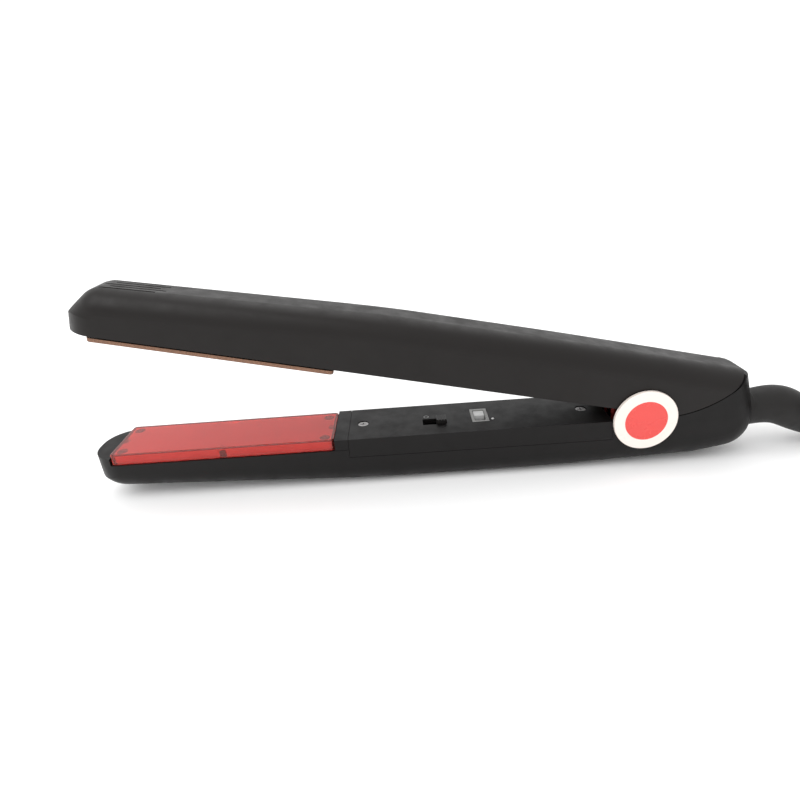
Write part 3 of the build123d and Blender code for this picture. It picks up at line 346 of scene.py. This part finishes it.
SOFT_BLACK = Finish(
    "soft touch black", (0.0088, 0.0072, 0.0066), 0.42,
    mottle=0.10, texture=0.20, shine=0.26,
)
SOFT_BLACK_LOWER = Finish(
    "soft touch black, lower", (0.0062, 0.0055, 0.0054), 0.45,
    mottle=0.10, texture=0.22, shine=0.22,
)
HEAT_BLACK = Finish(
    "heat proof black", (0.010, 0.009, 0.0085), 0.55,
    mottle=0.12, texture=0.35, shine=0.3,
)
RED_CLEAR = Finish(
    "clear red", (0.90, 0.135, 0.105), 0.10, Grain.POLISHED,
    mottle=0.02, texture=0.04, clear=0.92, bend=1.45,
)
PALE_PLATE = Finish("pale plastic", (0.86, 0.83, 0.79), 0.45, mottle=0.03, texture=0.2)
SCREW_STEEL = Finish("zinc plated steel", (0.34, 0.33, 0.33), 0.34, Grain.BRUSHED, metallic=1.0)
DARK_SCREW = Finish("blackened screw", (0.035, 0.030, 0.030), 0.42, Grain.BRUSHED, metallic=0.6)
BRIGHT_STEEL = Finish("bright steel", (0.56, 0.56, 0.57), 0.24, Grain.BRUSHED, metallic=1.0)
SPRING_STEEL = Finish("spring wire", (0.36, 0.36, 0.37), 0.30, Grain.BRUSHED, metallic=1.0)
TURNED_BRASS = Finish("turned brass", (0.70, 0.52, 0.25), 0.28, Grain.BRUSHED, metallic=1.0)
GREEN_BOARD = Finish("green board", (0.02, 0.13, 0.055), 0.30, Grain.LACQUERED, coat=0.4)
LIGHT_RESIN = Finish("light resin", (0.80, 0.78, 0.74), 0.15, Grain.POLISHED, texture=0.05, clear=0.5)
CASE_RESIN = Finish("component resin", (0.05, 0.05, 0.06), 0.38, mottle=0.15)
TINNED_STEEL = Finish("tinned steel", (0.62, 0.62, 0.61), 0.32, Grain.BRUSHED, metallic=1.0)
KNOB_BLACK = Finish("knob black", (0.009, 0.008, 0.0075), 0.40, mottle=0.1, texture=0.2, shine=0.35)
FRAME_GREY = Finish("frame grey", (0.33, 0.33, 0.32), 0.42, mottle=0.05, texture=0.2)
KNOB_WHITE = Finish("knob white", (0.80, 0.80, 0.79), 0.30, mottle=0.02, texture=0.08, coat=0.2)
CAP_WHITE = Finish(
    "cap off white", (0.84, 0.76, 0.70), 0.26, Grain.POLISHED,
    mottle=0.02, texture=0.04, coat=0.5,
)
INLAY_RED = Finish(
    "inlay red", (0.72, 0.045, 0.035), 0.26, Grain.POLISHED,
    mottle=0.04, texture=0.04, coat=0.6,
)
BRONZE_GLAZE = Finish(
    "bronze glaze", (0.17, 0.085, 0.05), 0.27, Grain.FLECKED,
    metallic=0.55, texture=0.12, coat=0.3,
)
HEATER_CERAMIC = Finish("heater ceramic", (0.82, 0.80, 0.75), 0.70, mottle=0.05, texture=0.4)
SENSOR_GLAZE = Finish("sensor glaze", (0.55, 0.42, 0.28), 0.35, Grain.POLISHED)
MICA = Finish("mica", (0.50, 0.45, 0.33), 0.42, Grain.FLECKED, texture=0.2, coat=0.3)
CAN_METAL = Finish("fuse can", (0.72, 0.72, 0.73), 0.30, Grain.BRUSHED, metallic=1.0)
SILICONE = Finish("grey silicone", (0.42, 0.43, 0.43), 0.62, mottle=0.05, texture=0.3)
WIRE_RED = Finish("wire sleeve", (0.28, 0.03, 0.025), 0.36, mottle=0.05, texture=0.1)
GLASS_SLEEVE = Finish("glass fibre sleeve", (0.66, 0.64, 0.57), 0.75, Grain.WOVEN, texture=0.7)
BOOT_RUBBER = Finish("boot rubber", (0.0105, 0.0095, 0.009), 0.52, mottle=0.12, texture=0.35, shine=0.3)
CORD_JACKET = Finish("cord jacket", (0.011, 0.010, 0.0095), 0.48, mottle=0.12, texture=0.30, shine=0.35)
TIE_STRAP = Finish("tie strap", (0.022, 0.021, 0.021), 0.80, Grain.WOVEN, texture=0.8, sheen=0.15)
PLUG_BLACK = Finish("plug black", (0.012, 0.011, 0.0105), 0.46, mottle=0.1, texture=0.3, shine=0.4)
PIN_NICKEL = Finish("plug pin nickel", (0.66, 0.61, 0.50), 0.22, Grain.BRUSHED, metallic=1.0)
MARK_GREY = Finish("printed mark", (0.22, 0.22, 0.22), 0.50, mottle=0.03, texture=0.1)


def dress(finish: Finish, *nodes: str) -> None:
    """Gives CAD nodes a finish.

    Args:
        finish: The finish for all of them.
        nodes: The nodes' names.
    """
    for name in nodes:
        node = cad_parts[name]
        if not node.material_slots:
            node.data.materials.append(finish.make())
        for slot in node.material_slots:
            slot.material = finish.make()
        LOG.info("%s is finished in %s", name, finish.name)


# --------------------------------------------------------------------------- shaping
def start_clean() -> None:
    """Leaves edit mode and deselects everything."""
    if bpy.context.object and bpy.context.object.mode != "OBJECT":
        bpy.ops.object.mode_set(mode="OBJECT")
    bpy.ops.object.select_all(action="DESELECT")


def settle(name: str, finish: Finish, body: str) -> bpy.types.Object:
    """Names, dresses and fixes the piece that was just shaped.

    Args:
        name: The piece's name.
        finish: Its finish.
        body: The CAD body that it moves with.

    Returns:
        The finished piece.
    """
    piece = bpy.context.object
    bpy.ops.object.mode_set(mode="OBJECT")
    bpy.ops.object.transform_apply(location=True, rotation=True, scale=True)
    piece.name = name
    piece.data.name = name
    piece.data.materials.clear()
    piece.data.materials.append(finish.make())
    bpy.ops.object.shade_smooth_by_angle(angle=SMOOTH_ANGLE)
    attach(piece, body)
    LOG.info("%s is made and rides on %s", name, body)
    return piece


def pick_faces(piece: bpy.types.Object, wanted: Callable[[bpy.types.MeshPolygon], bool]) -> None:
    """Selects the faces that a test accepts, in edit mode.

    Args:
        piece: The piece being shaped.
        wanted: A test on a polygon.
    """
    bpy.ops.mesh.select_mode(type="FACE")
    bpy.ops.mesh.select_all(action="DESELECT")
    bpy.ops.object.mode_set(mode="OBJECT")
    for polygon in piece.data.polygons:
        polygon.select = bool(wanted(polygon))
    bpy.ops.object.mode_set(mode="EDIT")


# --------------------------------------------------------------------------- sub-assemblies
@dataclass
class LowerArm:
    """The arm that lies on the table, with the window over its lights."""

    casing: tuple[str, ...] = ("lower_shell", "inner_cover", "window_bridge")
    boards: tuple[str, ...] = ("emitter_board", "control_board")

    def dress(self) -> None:
        """Finishes the arm's CAD nodes."""
        dress(SOFT_BLACK_LOWER, *self.casing)
        dress(RED_CLEAR, "red_window")
        dress(PALE_PLATE, "spreader_plate")
        dress(DARK_SCREW, "window_screws")
        dress(SCREW_STEEL, "cover_screws", "board_screws")
        dress(TURNED_BRASS, "window_spacers")
        dress(GREEN_BOARD, *self.boards)
        dress(LIGHT_RESIN, "emitters")
        dress(CASE_RESIN, "board_parts")
        dress(WIRE_RED, "supply_wires", "emitter_wires", "hinge_wires")


@dataclass
class Controls:
    """The on and off switch with its marks, and the selector with its small light."""

    mark_height: float = 0.0022
    mark_stroke: float = 0.00035
    mark_rise: float = 0.00006
    on_place: Vector = field(default_factory=lambda: from_hinge(-78.6, 1.9, -0.2))
    off_place: Vector = field(default_factory=lambda: from_hinge(-84.4, 1.9, -0.2))
    light_place: Vector = field(default_factory=lambda: from_hinge(-57.6, -3.6, -0.2))
    light_radius: float = 0.0006
    light_cut: float = 0.3
    light_flatness: float = 0.5
    bar_bevel: float = 0.6
    ring_corners: int = 40

    def dress(self) -> None:
        """Finishes the controls' CAD nodes."""
        dress(TINNED_STEEL, "switch_case", "selector_case")
        dress(KNOB_BLACK, "switch_knob")
        dress(FRAME_GREY, "selector_rim")
        dress(KNOB_WHITE, "selector_knob")

    def make_on_mark(self) -> None:
        """A raised printed bar at the on end of the switch."""
        start_clean()
        bpy.ops.mesh.primitive_cube_add(size=1.0, location=self.on_place)
        bpy.ops.transform.resize(value=(self.mark_stroke, self.mark_height, 2 * self.mark_rise))
        bpy.ops.object.transform_apply(location=False, rotation=False, scale=True)
        bpy.ops.object.mode_set(mode="EDIT")
        bpy.ops.mesh.select_all(action="SELECT")
        bpy.ops.mesh.bevel(offset=self.mark_rise * self.bar_bevel, segments=2, affect="EDGES")
        settle("switch_on_mark", MARK_GREY, "lower_arm")

    def make_off_mark(self) -> None:
        """A raised printed ring at the off end of the switch."""
        start_clean()
        bpy.ops.mesh.primitive_cylinder_add(
            vertices=self.ring_corners, radius=self.mark_height / 2,
            depth=2 * self.mark_rise, location=self.off_place,
        )
        piece = bpy.context.object
        bpy.ops.object.mode_set(mode="EDIT")
        pick_faces(piece, lambda face: abs(face.normal.z) > 0.9)
        bpy.ops.mesh.inset(thickness=self.mark_stroke)
        bpy.ops.mesh.bridge_edge_loops()
        bpy.ops.mesh.select_all(action="SELECT")
        bpy.ops.mesh.normals_make_consistent(inside=False)
        settle("switch_off_mark", MARK_GREY, "lower_arm")

    def make_light(self) -> None:
        """The small round lens of the ready light."""
        start_clean()
        bpy.ops.mesh.primitive_uv_sphere_add(
            segments=24, ring_count=12, radius=self.light_radius, location=self.light_place,
        )
        bpy.ops.object.mode_set(mode="EDIT")
        bpy.ops.mesh.select_all(action="SELECT")
        bpy.ops.mesh.bisect(
            plane_co=self.light_place - Vector((0, 0, self.light_radius * self.light_cut)),
            plane_no=(0, 0, 1), clear_inner=True, use_fill=True,
        )
        bpy.ops.mesh.select_all(action="SELECT")
        bpy.ops.transform.resize(value=(1, 1, self.light_flatness), center_override=self.light_place)
        settle("ready_light_lens", KNOB_WHITE, "lower_arm")

    def build(self) -> None:
        """Makes and finishes everything here."""
        self.dress()
        self.make_on_mark()
        self.make_off_mark()
        self.make_light()


@dataclass
class UpperArm:
    """The arm that carries the hot plate."""

    def dress(self) -> None:
        """Finishes the arm's CAD nodes."""
        dress(SOFT_BLACK, "upper_shell", "upper_cover")
        dress(HEAT_BLACK, "plate_frame")
        dress(SCREW_STEEL, "upper_cover_screws", "frame_screws")
        dress(SILICONE, "plate_cushions")
        dress(GLASS_SLEEVE, "heater_wires")


@dataclass
class HotPlate:
    """The floating plate with its heater."""

    def dress(self) -> None:
        """Finishes the plate's CAD nodes."""
        dress(BRONZE_GLAZE, "heating_plate")
        dress(HEATER_CERAMIC, "ceramic_heater")
        dress(MICA, "mica_sheet")
        dress(BRIGHT_STEEL, "heater_clamp")
        dress(SCREW_STEEL, "clamp_screws")
        dress(SENSOR_GLAZE, "thermistor")
        dress(CAN_METAL, "thermal_fuse")


@dataclass
class Hinge:
    """The pin, its bushes and spring, and the round caps."""

    def dress(self) -> None:
        """Finishes the hinge's CAD nodes."""
        dress(BRIGHT_STEEL, "hinge_pin")
        dress(TURNED_BRASS, "hinge_bushes")
        dress(SPRING_STEEL, "hinge_spring")
        dress(CAP_WHITE, "near_cap", "far_cap")
        dress(INLAY_RED, "near_cap_inlay", "far_cap_inlay")


class Column(Enum):
    """The two columns of the put away hank, by the radius of their folds in metres."""

    INNER = 0.0200
    OUTER = 0.0264


@dataclass
class MainsCord:
    """The mains cord, put away in a hank behind the iron, with its strain relief, tie and plug.

    The hank is wound clockwise from above: along the far run, round the fold away from the
    iron, back along the near run and round the fold beside the iron.
    """

    diameter: float = 0.0064
    near_fold: Vector = field(default_factory=lambda: from_hinge(122.0, -15.0, 0.0))
    run: float = 0.070
    lowest: float = HINGE.z - 0.0179
    top_layer: int = 3
    fold_steps: int = 8
    run_steps: int = 4
    last_share: float = 0.12
    span_steps: int = 6
    round_steps: int = 5
    lead: tuple[Triple, ...] = (
        (88.0, 0.0, -17.4), (93.5, 0.1, -18.0), (99.5, 2.2, -18.3),
        (106.0, 6.4, -18.1), (113.2, 10.4, -17.9),
    )
    tail: tuple[Triple, ...] = (
        (150.0, -41.4, 1.3), (131.0, -41.4, 1.4), (113.1, -41.2, 3.4), (100.5, -28.8, 7.6),
        (100.5, -11.1, 8.7), (113.1, 1.5, 8.7), (125.0, 1.6, 8.7), (138.0, 1.5, 8.7),
    )
    real_length: float = 1.75

    @staticmethod
    def eased(share: float) -> float:
        """A change from 0 to 1 with even bends at both halves.

        Args:
            share: How far along the stretch the point is, from 0 to 1.

        Returns:
            How much of the change is done.
        """
        return 2 * share * share if share < 0.5 else 1 - 2 * (1 - share) ** 2

    @staticmethod
    def corners() -> list[tuple[Column, int]]:
        """The column and layer of the cord at each end of each straight run, from the first."""
        outer, inner = Column.OUTER, Column.INNER
        turns = [
            (outer, 0, outer, 0, outer, 0, inner, 0), (inner, 0, inner, 0, inner, 1, inner, 1),
            (inner, 1, outer, 1, outer, 1, outer, 1), (outer, 2, outer, 2, outer, 2, inner, 2),
            (inner, 2, inner, 2, inner, 3, inner, 3), (inner, 3, outer, 3, outer, 3, outer, 3),
        ]
        return [(turn[at], turn[at + 1]) for turn in turns for at in (0, 2, 4, 6)]

    def place(self, leg: int, share: float, column: float, layer: float) -> Vector:
        """A point of the hank.

        Args:
            leg: 0 for the far run, 1 for the far fold, 2 for the near run, 3 for the near fold.
            share: How far along the leg, from 0 to 1.
            column: The distance from the hank's middle line.
            layer: The layer, counted from the lowest.

        Returns:
            The point.
        """
        height = self.lowest + layer * self.diameter
        start = self.near_fold.x
        if leg == 0:
            return Vector((start + share * self.run, self.near_fold.y + column, height))
        if leg == 2:
            return Vector((start + (1 - share) * self.run, self.near_fold.y - column, height))
        reach = column / math.cos(math.pi / 2 / self.fold_steps)
        angle = math.pi * share
        side = 1 if leg == 1 else -1
        middle = start + (self.run if leg == 1 else 0.0)
        x = middle + side * reach * math.sin(angle)
        return Vector((x, self.near_fold.y + side * reach * math.cos(angle), height))

    def hank(self) -> list[Vector]:
        """The points of all the hank's turns, in order, up to the last near run."""
        points = []
        ends = self.corners()[:-1]
        for index, (start, end) in enumerate(zip(ends, ends[1:])):
            leg = index % 4
            count = self.fold_steps if leg in (1, 3) else self.run_steps
            for step in range(count):
                share = (step + 0.5) / count
                done = self.eased(share)
                column = start[0].value + done * (end[0].value - start[0].value)
                layer = start[1] + done * (end[1] - start[1])
                points.append(self.place(leg, share, column, layer))
        return points

    def route(self) -> list[Vector]:
        """The cord's points, from the strain relief to the plug."""
        lead = [from_hinge(*place) for place in self.lead]
        near_run = self.place(2, self.last_share, Column.OUTER.value, self.top_layer)
        return lead + self.hank() + [near_run] + [from_hinge(*place) for place in self.tail]

    def make_cord(self) -> None:
        start_clean()
        data = bpy.data.curves.new("mains_cord", "CURVE")
        data.dimensions = "3D"
        spline = data.splines.new("NURBS")
        points = self.route()
        spline.points.add(len(points) - 1)
        for knot, place in zip(spline.points, points):
            knot.co = (*place, 1.0)
        spline.order_u = 3
        spline.use_endpoint_u = True
        data.resolution_u = self.span_steps
        data.bevel_depth = self.diameter / 2
        data.bevel_resolution = self.round_steps
        data.use_fill_caps = True
        cord = bpy.data.objects.new("mains_cord", data)
        bpy.context.scene.collection.objects.link(cord)
        data.materials.append(CORD_JACKET.make())
        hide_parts("cord_lead", "cord_hank", "cord_tail")
        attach(cord, "lower_arm")
        LOG.info("mains_cord is laid with %d points", len(points))

    def dress(self) -> None:
        """Finishes the CAD nodes on the cord."""
        dress(BOOT_RUBBER, "cord_boot")
        dress(CORD_JACKET, "cord_end")
        dress(TIE_STRAP, "cord_tie")
        dress(PLUG_BLACK, "plug_body")
        dress(PIN_NICKEL, "plug_pins")
        dress(SOFT_BLACK_LOWER, "cord_clamp")
        dress(SCREW_STEEL, "cord_clamp_screws")

    def build(self) -> None:
        """Makes and finishes everything here."""
        self.make_cord()
        self.dress()


# --------------------------------------------------------------------------- studio
@dataclass
class ViewCamera:
    """The camera, standing a forearm's length in front of the iron."""

    place: Triple = (-0.00345, -0.2029, 0.1258)
    right: Triple = (0.9974, -0.0153, -0.0704)
    up: Triple = (0.0703, 0.4227, 0.9035)
    lens: float = 24.76

    def build(self) -> None:
        """Makes the camera and sets it as the scene's."""
        data = bpy.data.cameras.new("view_camera")
        data.sensor_width = 36.0
        data.lens = self.lens
        data.clip_start = 0.01
        data.clip_end = 100.0
        camera = bpy.data.objects.new("view_camera", data)
        bpy.context.scene.collection.objects.link(camera)
        right = Vector(self.right).normalized()
        back = right.cross(Vector(self.up)).normalized()
        up = back.cross(right)
        turn = Matrix((right, up, back)).transposed().to_4x4()
        camera.matrix_world = Matrix.Translation(self.place) @ turn
        bpy.context.scene.camera = camera


@dataclass
class Studio:
    """A pale floor under soft white light."""

    floor_size: float = 60.0
    floor_tone: float = 0.96
    sky_strength: float = 1.12
    key_power: float = 5.0
    top_share: float = 0.7
    key_place: Triple = (-0.5, -0.5, 1.0)
    top_place: Triple = (0.1, 0.5, 1.1)
    key_size: float = 0.8
    top_size: float = 1.0

    def make_floor(self) -> None:
        """A wide pale floor just under the iron."""
        start_clean()
        bpy.ops.mesh.primitive_plane_add(size=self.floor_size, location=(0, 0, -0.0001))
        floor = bpy.context.object
        floor.name = "studio_floor"
        tone = self.floor_tone
        finish = Finish("studio floor", (tone, tone, tone), 0.9, mottle=0.004, texture=0.0)
        floor.data.materials.append(finish.make())

    def make_sky(self) -> None:
        """Even white light from all around."""
        world = bpy.data.worlds.new("studio")
        world.use_nodes = True
        background = world.node_tree.nodes["Background"]
        background.inputs["Color"].default_value = (1.0, 1.0, 1.0, 1.0)
        background.inputs["Strength"].default_value = self.sky_strength
        bpy.context.scene.world = world

    def make_lamp(self, name: str, place: Triple, aim: Triple, size: float, power: float) -> None:
        """A soft square lamp.

        Args:
            name: The lamp's name.
            place: Where it stands.
            aim: What it points at.
            size: The side of its square.
            power: Its power in watts.
        """
        data = bpy.data.lights.new(name, "AREA")
        data.size = size
        data.energy = power
        lamp = bpy.data.objects.new(name, data)
        bpy.context.scene.collection.objects.link(lamp)
        lamp.location = place
        lamp.rotation_euler = (Vector(aim) - Vector(place)).to_track_quat("-Z", "Y").to_euler()

    def build(self) -> None:
        """Makes the floor and the light."""
        self.make_floor()
        self.make_sky()
        self.make_lamp("key", self.key_place, (0, 0, 0), self.key_size, self.key_power)
        self.make_lamp("top", self.top_place, (0, 0, 0), self.top_size, self.key_power * self.top_share)
        settings = bpy.context.scene.view_settings
        settings.view_transform = "Standard"
        settings.look = "None"


def main() -> None:
    """Builds the scene, cord first, and reports each piece."""
    logging.basicConfig(level=logging.INFO, format="%(name)s: %(message)s")
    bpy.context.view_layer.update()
    start_clean()
    ViewCamera().build()
    MainsCord().build()
    LowerArm().dress()
    Controls().build()
    UpperArm().dress()
    HotPlate().dress()
    Hinge().dress()
    Studio().build()


if __name__ == "__main__":
    main()
